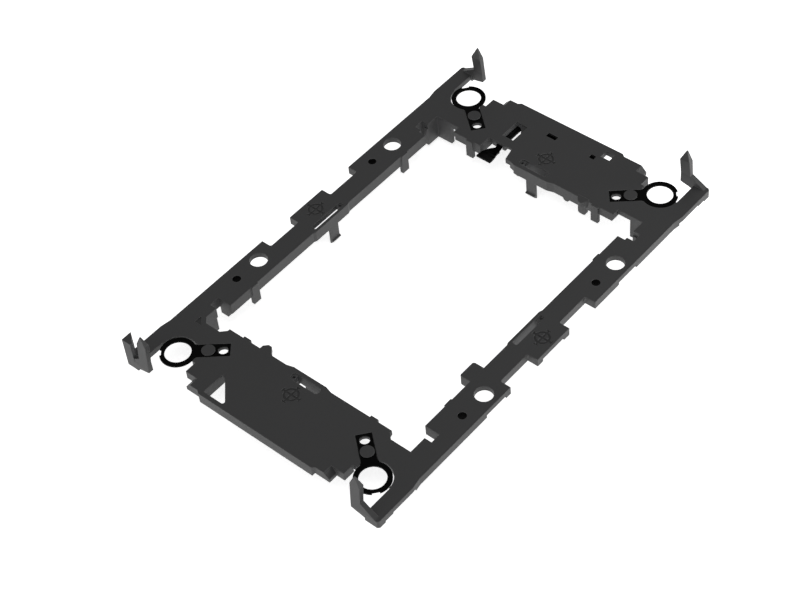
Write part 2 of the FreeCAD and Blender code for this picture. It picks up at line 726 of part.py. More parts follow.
def key_post():
    """Extra corner post that marks the pin 1 corner, at the lower left."""
    x0 = RAIL_END_STEP - END_X
    plan = [
        (x0, -END_Y),
        (x0 + KEY_POST_WIDTH, -END_Y),
        (x0 + KEY_POST_WIDTH - RING_GAP, -END_Y + KEY_POST_CORNER),
        (x0, -END_Y + KEY_POST_LENGTH),
    ]
    return prism(plan, DECK_BOTTOM, TOP + KEY_POST_HEIGHT)


def pin_bosses():
    """Bosses under the small holes of the rails."""
    radius = PIN_HOLE_R + PIN_BOSS_WALL
    places = [(sx * RAIL_HOLE_X, y) for sx in (-1, 1) for y in (UPPER_PIN_Y, LOWER_PIN_Y)]
    return [cylinder(x, y, radius, SKIRT_BOTTOM, DECK_BOTTOM) for x, y in places]


def rail_holes():
    """Cuts for the round holes of both rails."""
    cuts = []
    for side in (-1, 1):
        x = side * RAIL_HOLE_X
        for y in (UPPER_HOLE_Y, LOWER_HOLE_Y):
            cuts.append(cylinder(x, y, RAIL_HOLE_R, 0, TOP + 1))
        for y in (UPPER_PIN_Y, LOWER_PIN_Y):
            cuts.append(cylinder(x, y, PIN_HOLE_R, 0, TOP + 1))
    return cuts


def clip_outline(grow, z0, z1):
    """Solid with the plan of a ring clip, its tab along +X, about the ring's centre."""
    radius = RING_R + grow
    half = TAB_WIDTH / 2 + grow
    ring = cylinder(0, 0, radius, z0, z1)
    tab = box(0, TAB_REACH + grow, -half, half, z0, z1)
    neck_x = math.sqrt(radius ** 2 - half ** 2)
    return round_uprights(ring.fuse(tab), NECK_RADIUS, [(neck_x, half), (neck_x, -half)])


def place_clip(shape, side, end):
    """Turn a clip shape so that its tab points at the middle of the frame."""
    turns = {(1, 1): 180 + TAB_ANGLE, (-1, 1): -TAB_ANGLE, (-1, -1): TAB_ANGLE, (1, -1): 180 - TAB_ANGLE}
    moved = shape.copy()
    moved.rotate(Vector(0, 0, 0), Vector(0, 0, 1), turns[(side, end)])
    moved.translate(Vector(side * RING_X, end * RING_Y, 0))
    return moved


def ring_clip(side, end):
    """Sprung steel ring that holds one heat sink fastener."""
    body = clip_outline(0, CLIP_BOTTOM, CLIP_TOP)
    z0 = CLIP_BOTTOM - 1
    z1 = CLIP_TOP + 1
    cuts = [
        cylinder(0, 0, RING_HOLE_R, z0, z1),
        cylinder(STAKE_DISTANCE, 0, STAKE_R + STAKE_CLEARANCE, z0, z1),
        cylinder(TAB_HOLE_DISTANCE, 0, TAB_HOLE_R, z0, z1),
        box(-RING_R - 1, -RING_R + NOTCH_DEPTH, -NOTCH_WIDTH / 2, NOTCH_WIDTH / 2, z0, z1),
    ]
    return place_clip(body.cut(fuse_all(cuts)), side, end)


def clip_seats():
    """Pockets for the four ring clips and the heads that hold them."""
    pockets = []
    heads = []
    pocket = clip_outline(TAB_CLEARANCE, CLIP_BOTTOM, TOP + 1)
    hole = cylinder(TAB_HOLE_DISTANCE, 0, TAB_HOLE_R + TAB_CLEARANCE, 0, TOP)
    shank = cylinder(STAKE_DISTANCE, 0, STAKE_R, DECK_BOTTOM, CLIP_TOP + STAKE_HEAD_HEIGHT / 2)
    head = cylinder(STAKE_DISTANCE, 0, STAKE_HEAD_R, CLIP_TOP, CLIP_TOP + STAKE_HEAD_HEIGHT)
    for side in (-1, 1):
        for end in (-1, 1):
            pockets.append(place_clip(pocket.fuse(hole), side, end))
            heads.append(place_clip(shank.fuse(head), side, end))
    return pockets, heads


def window_span(window):
    """Left, right, near and far edge of a window of the upper plate."""
    left, right, near, far = window
    return left, right, END_Y - near, END_Y - far


def windows():
    """Cuts through the end plates."""
    cuts = []
    for window in (HANDLE_WINDOW, SQUARE_WINDOW, FINGER_WINDOW):
        x0, x1, y0, y1 = window_span(window)
        cuts.append(box(x0, x1, y0, y1, 0, TOP + 1))
    x0, x1, y0, y1 = window_span(HANDLE_WINDOW)
    handle_back = HANDLE_Y + HANDLE_WIDTH / 2 + HANDLE_CLEARANCE
    cuts.append(box(x0 - RIB_WALL, HANDLE_END_X + HANDLE_CLEARANCE, y0, handle_back, 0, TOP - HANDLE_COVER))
    x0, x1, y0, y1 = window_span(LEVER_WINDOW)
    cuts.append(prism([
        (x0, y0),
        (x1, y0),
        (x1, y1 - LEVER_WINDOW_CUT_Y),
        (x1 - LEVER_WINDOW_CUT_X, y1),
        (x0, y1),
    ], 0, TOP + 1))
    cuts.append(box(x1 - LEVER_WINDOW_CUT_X, x1, y1 - LEVER_WINDOW_CUT_Y, y1,
                    TOP - LEVER_SINK_DEPTH, TOP + 1))
    foot = TRIANGLE_MARGIN - LIP_Y
    triangle = prism([
        (TRIANGLE_X, foot),
        (TRIANGLE_X + TRIANGLE_WIDTH, foot),
        (TRIANGLE_X, foot + TRIANGLE_HEIGHT),
    ], 0, TOP + 1)
    sharp = [(TRIANGLE_X + TRIANGLE_WIDTH, foot), (TRIANGLE_X, foot + TRIANGLE_HEIGHT)]
    cuts.append(round_uprights(triangle, TRIANGLE_RADIUS, sharp))
    return cuts


def plate_ribs():
    """Stiffening ribs under both end plates."""
    inner = OPEN_Y + SKIRT_WALL
    outer = LIP_Y - SKIRT_WALL
    handle_edge = HANDLE_Y - HANDLE_WIDTH / 2 - HANDLE_CLEARANCE
    rib_x = (PLATE_SLOT_HALF + PLATE_SLOT_OFFSET, LIP_HALF - SKIRT_WALL)
    ribs = []
    for x in (TRIANGLE_X - RIB_WALL, -rib_x[0] - RIB_WALL) + rib_x:
        ribs.append(box(x, x + RIB_WALL, -outer, -inner, SKIRT_BOTTOM, DECK_BOTTOM))
    for x in rib_x:
        ribs.append(box(x, x + RIB_WALL, inner, handle_edge, SKIRT_BOTTOM, DECK_BOTTOM))
    ribs.append(box(NOTCH_LEFT_X - SKIRT_WALL, NOTCH_LEFT_X, OPEN_Y, NOTCH_TOP_Y + NOTCH_RIB_LENGTH,
                    SKIRT_BOTTOM, DECK_BOTTOM))
    return ribs


def bearings():
    """Open bearings under the upper plate that the lever's shaft snaps into."""
    half = SHAFT_R + SHAFT_CLEARANCE + BEARING_WALL
    bottom = LEVER_Z - SHAFT_R * BEARING_THROAT
    blocks = []
    near = NOTCH_TOP_Y + BEARING_NEAR_DISTANCE
    far = END_Y - BEARING_END_DISTANCE
    for y, left in ((near, NOTCH_LEFT_X), (far, LEVER_X - half)):
        blocks.append(box(left, LEVER_X + half, y - BEARING_LENGTH / 2,
                          y + BEARING_LENGTH / 2, bottom, DECK_BOTTOM))
    return blocks


def notch_trims():
    """Steps of the skirt at the right of the notch, and the thin lip at its back."""
    near = OPEN_Y - CUT_MARGIN
    far = OPEN_Y + SKIRT_WALL
    first = NOTCH_RIGHT_X + NOTCH_SKIRT_START
    second = first + NOTCH_SKIRT_STEP
    lip = profile_along_x([
        (NOTCH_TOP_Y, TOP - NOTCH_LIP),
        (NOTCH_TOP_Y, DECK_BOTTOM),
        (NOTCH_TOP_Y + DECK_THICKNESS - NOTCH_LIP, DECK_BOTTOM),
    ], NOTCH_LEFT_X, NOTCH_RIGHT_X)
    return [
        box(NOTCH_RIGHT_X, first, near, far, 0, DECK_BOTTOM),
        box(first, second, near, far, 0, TOP - NOTCH_SKIRT_DROP),
        lip,
    ]


def lever_room():
    """Room for the shaft to turn in, from the notch to beyond the handle."""
    radius = SHAFT_R + SHAFT_CLEARANCE
    start = NOTCH_TOP_Y - CUT_MARGIN
    length = HANDLE_Y + HANDLE_WIDTH / 2 + HANDLE_CLEARANCE - start
    tunnel = Part.makeCylinder(radius, length, Vector(LEVER_X, start, LEVER_Z), Vector(0, 1, 0))
    half = radius * BEARING_THROAT
    throat = box(LEVER_X - half, LEVER_X + half, start, start + length, 0, LEVER_Z)
    return tunnel.fuse(throat)


def cross_mark(x, y):
    """Shallow ring and cross that show where to press."""
    z0 = TOP - MARK_DEPTH
    z1 = TOP + 1
    half = MARK_STROKE / 2
    ring = cylinder(x, y, MARK_RING_R + half, z0, z1).cut(cylinder(x, y, MARK_RING_R - half, z0, z1))
    bars = [
        box(x - MARK_ARM, x + MARK_ARM, y - half, y + half, z0, z1),
        box(x - half, x + half, y - MARK_ARM, y + MARK_ARM, z0, z1),
    ]
    for side in (-1, 1):
        near = side * (MARK_ARM - half)
        far = side * MARK_ARM
        bars.append(box(x + near, x + far, y - MARK_FOOT, y + MARK_FOOT, z0, z1))
        bars.append(box(x - MARK_FOOT, x + MARK_FOOT, y + near, y + far, z0, z1))
    return ring.fuse(fuse_all(bars))


def marks():
    """All shallow marks of the deck."""
    cuts = [cross_mark(0, s * (OPEN_Y + MARK_PLATE_DISTANCE)) for s in (-1, 1)]
    cuts += [cross_mark(s * (RAIL_X - MARK_RAIL_MARGIN), 0) for s in (-1, 1)]
    size = CORNER_MARK_SIZE
    x = -OPEN_X - CORNER_MARK_REACH
    y = -RELIEF_Y - CORNER_MARK_GAP
    cuts.append(prism([(x, y), (x + size, y), (x, y + size)], TOP - MARK_DEPTH, TOP + 1))
    return cuts


def end_chamfer():
    """Cut that takes the upright corner off the upper right end of the rail."""
    edge_x = END_X - RAIL_END_CHAMFER
    edge_y = END_Y - RAIL_END_CHAMFER
    return prism([
        (edge_x, END_Y),
        (edge_x, END_Y + CUT_MARGIN),
        (END_X + CUT_MARGIN, END_Y + CUT_MARGIN),
        (END_X + CUT_MARGIN, edge_y),
        (END_X, edge_y),
    ], 0, TOP)


def carrier_frame():
    """The whole moulding."""
    pockets, heads = clip_seats()
    notch = prism(notch_outline(NOTCH_LEFT_X, NOTCH_RIGHT_X, NOTCH_TOP_Y), 0, TOP + 1)
    openings = opening(0, 0, TOP + 1).fuse(notch)
    body = [deck(), inner_skirt(), rail_skirts()] + plate_skirts() + plate_ribs()
    body += pin_bosses() + bearings() + nubs()
    solid = fuse_all(body).cut(openings)
    rail_parts, rail_slot = rail_beam()
    leg, recess = catch_leg()
    adds = corner_legs() + guide_legs() + [key_tab(), nose_tab()]
    adds += both_sides(rail_parts) + both_ends(plate_beam())
    solid = fuse_all([solid] + adds)
    cuts = both_sides([rail_slot]) + plate_slots() + [lever_room(), recess]
    cuts += rail_holes() + windows() + pockets + marks() + notch_trims() + four_corners(end_chamfer())
    solid = solid.cut(fuse_all(cuts))
    posts = [p.cut(c) for p, c in zip(four_corners(post()), four_corners(end_chamfer()))]
    return fuse_all([solid] + posts + [key_post(), leg] + heads).removeSplitter()


def blade():
    """Fan-shaped blade of the lever, tilted a little upwards to its tip."""
    tip_y = OPEN_Y - BLADE_REACH
    neck_y = tip_y + BLADE_LENGTH
    z0 = LEVER_Z - BLADE_THICKNESS / 2
    bulge = BLADE_HALF * BLADE_BULGE
    sides = []
    for side in (-1, 1):
        wide = Vector(LEVER_X + side * BLADE_HALF, tip_y, z0)
        through = Vector(LEVER_X + side * bulge, (tip_y + neck_y) / 2, z0)
        neck = Vector(LEVER_X + side * BLADE_NECK_HALF, neck_y, z0)
        sides.append(Part.Arc(wide, through, neck).toShape())
    far = Part.makeLine(sides[0].Vertexes[0].Point, sides[1].Vertexes[0].Point)
    near = Part.makeLine(sides[0].Vertexes[1].Point, sides[1].Vertexes[1].Point)
    outline = Part.Wire(Part.__sortEdges__([far, sides[0], near, sides[1]]))
    solid = Part.Face(outline).extrude(Vector(0, 0, BLADE_THICKNESS))
    solid.rotate(Vector(LEVER_X, neck_y, LEVER_Z), Vector(1, 0, 0), -BLADE_TILT)
    return solid, neck_y


def release_lever():
    """One-piece lever: blade in the opening, shaft under the plate, handle across it."""
    fan, neck_y = blade()
    shaft_start = neck_y - BLADE_THICKNESS
    shaft_end = HANDLE_Y + HANDLE_WIDTH / 2
    shaft = Part.makeCylinder(SHAFT_R, shaft_end - shaft_start,
                              Vector(LEVER_X, shaft_start, LEVER_Z), Vector(0, 1, 0))
    half = HANDLE_THICKNESS / 2
    front = HANDLE_Y - HANDLE_WIDTH / 2
    back = HANDLE_Y + HANDLE_WIDTH / 2
    arm = box(LEVER_X, HANDLE_END_X, front, back, LEVER_Z - half, LEVER_Z + half)
    grip = box(HANDLE_END_X - HANDLE_GRIP_LENGTH, HANDLE_END_X, front, back,
               LEVER_Z - half - HANDLE_GRIP_HEIGHT, LEVER_Z)
    return fuse_all([fan, shaft, arm, grip]).removeSplitter()


def export(shape, name):
    """Write one piece and say whether it is one valid solid."""
    solids = shape.Solids
    print(name, "solids", len(solids), "valid", shape.isValid(), "volume", round(shape.Volume, 2))
    target = solids[0] if len(solids) == 1 else shape
    target.exportStep("parts/" + name + ".step")


os.makedirs("parts", exist_ok=True)
export(carrier_frame(), "carrier_frame")
export(release_lever(), "release_lever")
CORNERS = {"upper_left": (-1, 1), "upper_right": (1, 1), "lower_left": (-1, -1), "lower_right": (1, -1)}
for corner, (side, end) in CORNERS.items():
    export(ring_clip(side, end), "ring_clip_" + corner)
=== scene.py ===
import math

import bpy
from bpy.props import FloatProperty, FloatVectorProperty, PointerProperty
from mathutils import Matrix, Vector


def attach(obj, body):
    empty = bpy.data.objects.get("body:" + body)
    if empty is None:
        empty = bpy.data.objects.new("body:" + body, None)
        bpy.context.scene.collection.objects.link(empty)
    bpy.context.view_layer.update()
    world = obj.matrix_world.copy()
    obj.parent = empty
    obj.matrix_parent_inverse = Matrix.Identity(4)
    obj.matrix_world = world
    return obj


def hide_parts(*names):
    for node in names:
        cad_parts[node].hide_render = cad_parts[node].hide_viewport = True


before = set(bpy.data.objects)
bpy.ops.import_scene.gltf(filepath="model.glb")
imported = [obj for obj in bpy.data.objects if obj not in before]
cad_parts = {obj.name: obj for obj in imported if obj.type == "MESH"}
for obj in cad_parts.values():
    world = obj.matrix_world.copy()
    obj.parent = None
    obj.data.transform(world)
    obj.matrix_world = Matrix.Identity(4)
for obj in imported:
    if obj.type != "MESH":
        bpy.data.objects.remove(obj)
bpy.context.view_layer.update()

bl_info = {
    "name": "Processor Retention Frame",
    "version": (1, 0, 0),
    "blender": (4, 5, 0),
    "location": "View3D > Sidebar > Retention Frame",
    "description": "Finishes of a moulded processor retention frame, and the studio that shows it",
    "category": "Object",
}

CARRIER = "carrier_frame"
LEVER = "release_lever"
CLIPS = [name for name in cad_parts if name.startswith("ring_clip_")]

# Heights on the carrier: both sides of its upper plate, and the lower edge of the skirt
DECK_TOP = 0.0078
DECK_BOTTOM = 0.0064
SKIRT_BOTTOM = 0.0049

# The nose: the edge of the opening that it leaves, and how far behind that edge it is seated
OPENING_EDGE_Y = 0.0393
NOSE_SEAT = 0.00065

# The skirt round the upper left slot: its inner corner, its thickness, and how far its two walls
# run on from the corner
SLOT_CORNER = (-0.0324, 0.03775)
SKIRT_WALL = 0.001
SLOT_END_WALL = 0.00355
SLOT_FAR_WALL = 0.00095

# The lever: its axis across and above the floor, and where its shaft begins
LEVER_X = -0.01345
LEVER_Z = 0.0053
SHAFT_START = 0.0424

# Layers in which the floors of the press marks and the ledges in the slots lie, each as the middle
# and half size of a block
# The press-mark floors are painted darker as painted shade
MARK_FLOORS = ((0.0, 0.0, 0.0076), (0.05, 0.07, 0.00006))
# The sunk ledges are painted paler as painted light
LEDGE_FLOORS = ((0.0, 0.0, 0.0075), (0.05, 0.07, 0.00003))

# The small deep wells, each as the middle and half size of a block round it, where painted shade
# darkens the plastic and takes away its shine
WELLS = (
    ((0.03305, 0.01995, 0.0055), (0.0012, 0.0012, 0.0022)),
    ((-0.03305, 0.01995, 0.0055), (0.0012, 0.0012, 0.0022)),
    ((0.03305, -0.0273, 0.0055), (0.0012, 0.0012, 0.0022)),
    ((-0.03305, -0.0273, 0.0055), (0.0012, 0.0012, 0.0022)),
    ((0.0022, 0.05187, 0.0065), (0.0071, 0.00072, 0.00125)),
)

# A face is an upright wall while its normal leans up or down by less than this
WALL_LEAN = 0.4

# Rays that the edge rounding, with its painted highlight, and the painted light on enclosed walls
# send out at each point
FINISH_SAMPLES = 6

# How near a place, and how square to a side, a point, edge or face has to be to be picked
NEAR = 0.00002
SQUARE = 0.99

# Points of a CAD mesh that lie closer than this are one point
MERGE_DISTANCE = 0.000002

# Studio: width of the floor, where the room's light goes over from its back to its front side
# (-1 is straight behind the frame, 1 on the camera's side), and the sensor in millimetres
FLOOR_WIDTH = 6.0
ROOM_CHANGE = (-0.35, 0.55)
SENSOR_WIDTH = 36.0


class MouldedFinish(bpy.types.PropertyGroup):
    """Matte moulded plastic of the carrier."""

    colour: FloatVectorProperty(
        name="Colour", description="Charcoal of the moulded plastic",
        subtype="COLOR", size=3, min=0.0, max=1.0, default=(0.0205, 0.0205, 0.021))
    # Painted highlight: a paler colour along the softened edges, where light would catch them
    painted_edge_highlight_colour: FloatVectorProperty(
        name="Edge colour", description="Paler tone along the softened edges",
        subtype="COLOR", size=3, min=0.0, max=1.0, default=(0.06, 0.06, 0.061))
    edge_radius: FloatProperty(
        name="Edge radius", description="Radius that the mould leaves on each edge",
        unit="LENGTH", precision=6, min=0.0, default=0.00018)
    # Painted light: upright walls that stand close together are painted paler, lifting the shade
    # between them
    painted_wall_light_tone: FloatProperty(
        name="Core tone",
        description="How much paler upright walls are where they stand close together",
        min=0.0, default=4.2)
    painted_wall_light_reach: FloatProperty(
        name="Core reach", description="How near walls stand to each other where that tone shows",
        unit="LENGTH", precision=6, min=0.0, default=0.004)
    # Painted shade: the small deep wells are painted darker
    painted_well_shade_tone: FloatProperty(
        name="Well tone", description="How dark the small deep wells are beside the rest",
        subtype="FACTOR", min=0.0, max=1.0, default=0.12)
    # Painted shade: the floors of the shallow press marks are painted darker
    painted_mark_shade_tone: FloatProperty(
        name="Mark tone",
        description="How dark the floors of the shallow press marks are beside the rest",
        subtype="FACTOR", min=0.0, max=1.0, default=0.6)
    # Painted light: the sunk ledges at the slots' ends are painted paler
    painted_ledge_light_tone: FloatProperty(
        name="Ledge tone",
        description="How much paler the sunk ledges at the slots' ends are beside the rest",
        min=0.0, default=1.9)
    shine: FloatProperty(
        name="Shine", description="How strongly the plastic mirrors the room",
        subtype="FACTOR", min=0.0, max=1.0, default=0.5)
    # Part of the painted shade: the wells also lose most of their shine
    well_shine: FloatProperty(
        name="Well shine", description="How strongly the small deep wells mirror the room",
        subtype="FACTOR", min=0.0, max=1.0, default=0.02)
    roughness: FloatProperty(
        name="Roughness", description="How matte the moulded surface is",
        subtype="FACTOR", min=0.0, max=1.0, default=0.52)
    grain_size: FloatProperty(
        name="Grain size", description="Size of the spark-eroded grain of the mould",
        unit="LENGTH", precision=6, min=0.00001, default=0.00016)
    grain_depth: FloatProperty(
        name="Grain depth", description="Depth of that grain",
        unit="LENGTH", precision=6, min=0.0, default=0.000006)


class LeverFinish(bpy.types.PropertyGroup):
    """Smoother black plastic of the lever."""

    colour: FloatVectorProperty(
        name="Colour", description="Black of the lever",
        subtype="COLOR", size=3, min=0.0, max=1.0, default=(0.0011, 0.0011, 0.0012))
    roughness: FloatProperty(
        name="Roughness", description="Satin surface of the lever",
        subtype="FACTOR", min=0.0, max=1.0, default=0.38)
    shine: FloatProperty(
        name="Shine", description="How strongly the lever mirrors the room",
        subtype="FACTOR", min=0.0, max=1.0, default=0.08)
    # Painted highlight: the lever's edges are painted paler
    painted_edge_highlight_tone: FloatProperty(
        name="Edge tone", description="How much paler the lever's edges are beside the rest",
        min=0.0, default=2.5)
    edge_radius: FloatProperty(
        name="Edge radius", description="Radius that the mould leaves on each edge",
        unit="LENGTH", precision=6, min=0.0, default=0.0001)
    neck_share: FloatProperty(
        name="Neck",
        description="Thickness of the shaft where it meets the blade, as a share of the rest",
        subtype="FACTOR", min=0.1, max=1.0, default=0.26)
    neck_length: FloatProperty(
        name="Neck length", description="Length over which the shaft grows to its full thickness",
        unit="LENGTH", precision=5, min=0.0001, default=0.0026)
    neck_shift: FloatVectorProperty(
        name="Neck shift",
        description="How far the blade's neck stands from the middle of the blade",
        subtype="TRANSLATION", unit="LENGTH", size=3, precision=5,
        default=(0.0008, 0.0004, 0.0))
    neck_softness: FloatProperty(
        name="Neck softness", description="How far round the neck the blade follows that shift",
        unit="LENGTH", precision=5, min=0.0001, default=0.0021)


class ClipFinish(bpy.types.PropertyGroup):
    """Black coated spring steel of the ring clips."""

    colour: FloatVectorProperty(
        name="Colour", description="Black coating on the spring steel",
        subtype="COLOR", size=3, min=0.0, max=1.0, default=(0.0005, 0.0005, 0.00055))
    roughness: FloatProperty(
        name="Roughness", description="Soft sheen of the coating",
        subtype="FACTOR", min=0.0, max=1.0, default=0.32)
    shine: FloatProperty(
        name="Shine", description="How strongly the coating mirrors the room",
        subtype="FACTOR", min=0.0, max=1.0, default=0.04)
    # Painted highlight: the coating's edges are painted paler
    painted_edge_highlight_tone: FloatProperty(
        name="Edge tone", description="How much paler the coating's edges are beside the rest",
        min=0.0, default=3.0)
    edge_radius: FloatProperty(
        name="Edge radius", description="Radius of the coating over the cut edges",
        unit="LENGTH", precision=6, min=0.0, default=0.00008)
    rolled_lines: FloatProperty(
        name="Rolled lines",
        description="Spacing of the faint lines that rolling left in the strip",
        unit="LENGTH", precision=6, min=0.00001, default=0.00022)


class DetailSettings(bpy.types.PropertyGroup):
    """Small moulded forms that the upper plate carries."""

    nose_centre: FloatProperty(
        name="Nose centre", description="Middle of the nose over the catch leg, across the frame",
        unit="LENGTH", precision=5, default=0.01505)
    nose_width: FloatProperty(
        name="Nose width", description="Width of the nose where it leaves the plate",
        unit="LENGTH", precision=5, min=0.0, default=0.0029)
    nose_reach: FloatProperty(
        name="Nose reach", description="How far the nose stands out over the opening",
        unit="LENGTH", precision=5, min=0.0, default=0.0014)
    nose_tip: FloatProperty(
        name="Nose tip", description="Width of the nose's tip as a share of its foot",
        subtype="FACTOR", min=0.0, max=1.0, default=0.3)
    nose_round: FloatProperty(
        name="Nose rounding", description="Radius of the nose's upright edges",
        unit="LENGTH", precision=5, min=0.0, default=0.0003)
    skirt_drop: FloatProperty(
        name="Slot skirt",
        description="How far the skirt round the upper left slot hangs below the rest",
        unit="LENGTH", precision=5, min=0.0, default=0.0019)
    skirt_round: FloatProperty(
        name="Skirt rounding", description="Radius of the skirt's lower edges",
        unit="LENGTH", precision=5, min=0.0, default=0.0001)


class StudioSettings(bpy.types.PropertyGroup):
    """Floor, soft lights and camera."""

    floor_colour: FloatVectorProperty(
        name="Floor", description="Plain pale floor",
        subtype="COLOR", size=3, min=0.0, max=1.0, default=(0.93, 0.93, 0.93))
    floor_glow: FloatProperty(
        name="Floor glow", description="Light that the floor gives off, lit from below",
        min=0.0, default=0.7)
    room_front: FloatProperty(
        name="Room light in front", description="Even light from the camera's side of the room",
        min=0.0, default=0.49)
    room_back: FloatProperty(
        name="Room light behind", description="Even light from the far side of the room",
        min=0.0, default=0.45)
    side_light: FloatProperty(
        name="Side light", description="Power of the small soft light close on the right",
        unit="POWER", min=0.0, default=0.18)
    front_light: FloatProperty(
        name="Front light", description="Power of the soft light in front",
        unit="POWER", min=0.0, default=3.3)
    top_light: FloatProperty(
        name="Top light", description="Power of the soft light above",
        unit="POWER", min=0.0, default=2.1)
    azimuth: FloatProperty(
        name="Azimuth",
        description="Turn of the camera round the frame, from straight in front towards the right",
        subtype="ANGLE", default=math.radians(45.10))
    elevation: FloatProperty(
        name="Elevation", description="Height of the camera above the floor as an angle",
        subtype="ANGLE", default=math.radians(47.79))
    roll: FloatProperty(
        name="Roll", description="Tilt of the picture",
        subtype="ANGLE", default=math.radians(-6.44))
    distance: FloatProperty(
        name="Distance", description="Camera to the middle of its view",
        unit="LENGTH", default=0.4284)
    aim: FloatVectorProperty(
        name="Aim", description="Middle of the camera's view", subtype="TRANSLATION", unit="LENGTH",
        size=3, precision=5, default=(0.00128, -0.0102, 0.0078))
    lens: FloatProperty(
        name="Lens", description="Focal length in millimetres on a 36 mm wide sensor",
        unit="CAMERA", default=86.44)


class RetentionFrameSettings(bpy.types.PropertyGroup):
    """Everything that can be set."""

    moulding: PointerProperty(type=MouldedFinish)
    lever: PointerProperty(type=LeverFinish)
    clips: PointerProperty(type=ClipFinish)
    details: PointerProperty(type=DetailSettings)
    studio: PointerProperty(type=StudioSettings)


def new_material(name):
    """Empty node material with its surface shader."""
    material = bpy.data.materials.new(name)
    material.use_nodes = True
    tree = material.node_tree
    tree.nodes.clear()
    output = tree.nodes.new("ShaderNodeOutputMaterial")
    shader = tree.nodes.new("ShaderNodeBsdfPrincipled")
    tree.links.new(shader.outputs["BSDF"], output.inputs["Surface"])
    return material, tree, shader


def add_node(tree, kind, values=None, links=None):
    """One node with its values set and its inputs linked."""
    node = tree.nodes.new(kind)
    for key, value in (values or {}).items():
        if key in node.inputs:
            node.inputs[key].default_value = value
        else:
            setattr(node, key, value)
    for key, socket in (links or {}).items():
        tree.links.new(socket, node.inputs[key])
    return node


def feed(tree, node, parts):
    """Give a node's inputs, in their order, a value or another node's socket each."""
    for socket, part in zip(node.inputs, parts):
        if isinstance(part, bpy.types.NodeSocket):
            tree.links.new(part, socket)
        else:
            socket.default_value = part
    return node


def math_node(tree, operation, *parts):
    """Result of one sum on values or sockets."""
    node = add_node(tree, "ShaderNodeMath", {"operation": operation})
    return feed(tree, node, parts).outputs["Value"]


def vector_node(tree, operation, *parts, result="Vector"):
    """Result of one sum on vectors or sockets."""
    node = add_node(tree, "ShaderNodeVectorMath", {"operation": operation})
    return feed(tree, node, parts).outputs[result]


def noise(tree, place, scale, detail, roughness=0.5):
    """Soft random pattern, with its scale in waves per metre."""
    node = add_node(tree, "ShaderNodeTexNoise",
                    {"Scale": scale, "Detail": detail, "Roughness": roughness}, {"Vector": place})
    return node.outputs["Fac"]


def remap(tree, value, span, result):
    """Value moved from one span to another, and held at its ends."""
    limits = {"From Min": span[0], "From Max": span[1], "To Min": result[0], "To Max": result[1]}
    return add_node(tree, "ShaderNodeMapRange", limits, {"Value": value}).outputs["Result"]


def blend(tree, factor, low, high):
    """Colour between two colours or colour sockets."""
    node = add_node(tree, "ShaderNodeMix", {"data_type": "RGBA"})
    colours = [socket for socket in node.inputs if socket.type == "RGBA"]
    tree.links.new(factor, node.inputs[0])
    for socket, colour in zip(colours, (low, high)):
        if isinstance(colour, bpy.types.NodeSocket):
            tree.links.new(colour, socket)
        else:
            socket.default_value = (*colour, 1.0)
    return [socket for socket in node.outputs if socket.type == "RGBA"][0]


def scaled(colour, factor):
    """A lighter or darker tone of a colour."""
    return tuple(min(1.0, part * factor) for part in colour)


def mottled(tree, pattern, colour, darker, paler):
    """Colour that wanders with a pattern between two tones of itself."""
    return blend(tree, pattern, scaled(colour, darker), scaled(colour, paler))


def rounded_edges(tree, radius):
    """Normal that runs softly over the edges, and how near an edge a point is."""
    bevel = add_node(tree, "ShaderNodeBevel", {"samples": FINISH_SAMPLES, "Radius": radius})
    plain = add_node(tree, "ShaderNodeNewGeometry")
    normal = bevel.outputs["Normal"]
    likeness = vector_node(tree, "DOT_PRODUCT", normal, plain.outputs["Normal"], result="Value")
    return normal, remap(tree, likeness, (0.995, 0.80), (0.0, 1.0))


def inside_block(tree, place, middle, half):
    """One where a place lies in a block, zero elsewhere."""
    offset = vector_node(tree, "SUBTRACT", place, middle)
    share = vector_node(tree, "DIVIDE", vector_node(tree, "ABSOLUTE", offset), half)
    parts = add_node(tree, "ShaderNodeSeparateXYZ", links={"Vector": share})
    widest = math_node(tree, "MAXIMUM", parts.outputs["X"], parts.outputs["Y"])
    widest = math_node(tree, "MAXIMUM", widest, parts.outputs["Z"])
    return math_node(tree, "LESS_THAN", widest, 1.0)


def any_block(tree, place, blocks):
    """One where a place lies in any of the blocks."""
    found = None
    for middle, half in blocks:
        mask = inside_block(tree, place, middle, half)
        found = mask if found is None else math_node(tree, "MAXIMUM", found, mask)
    return found


def enclosed_walls(tree, reach):
    """How much an upright wall is enclosed by its neighbours, from zero in the open to one."""
    nearby = add_node(tree, "ShaderNodeAmbientOcclusion",
                      {"samples": FINISH_SAMPLES, "Distance": reach})
    plain = add_node(tree, "ShaderNodeNewGeometry")
    parts = add_node(tree, "ShaderNodeSeparateXYZ", links={"Vector": plain.outputs["Normal"]})
    lean = math_node(tree, "ABSOLUTE", parts.outputs["Z"])
    upright = math_node(tree, "LESS_THAN", lean, WALL_LEAN)
    closed = math_node(tree, "SUBTRACT", 1.0, nearby.outputs["AO"])
    return math_node(tree, "MULTIPLY", upright, closed)


def uneven_gloss(tree, shader, pattern, roughness, smoother, rougher):
    """Let the roughness wander a little with a pattern."""
    gloss = remap(tree, pattern, (0.3, 0.7), (roughness - smoother, roughness + rougher))
    tree.links.new(gloss, shader.inputs["Roughness"])


def fine_relief(tree, shader, height, normal, strength, depth):
    """Let a fine relief show on the surface, on top of its rounded edges."""
    bump = add_node(tree, "ShaderNodeBump", {"Strength": strength, "Distance": depth},
                    {"Height": height, "Normal": normal})
    tree.links.new(bump.outputs["Normal"], shader.inputs["Normal"])


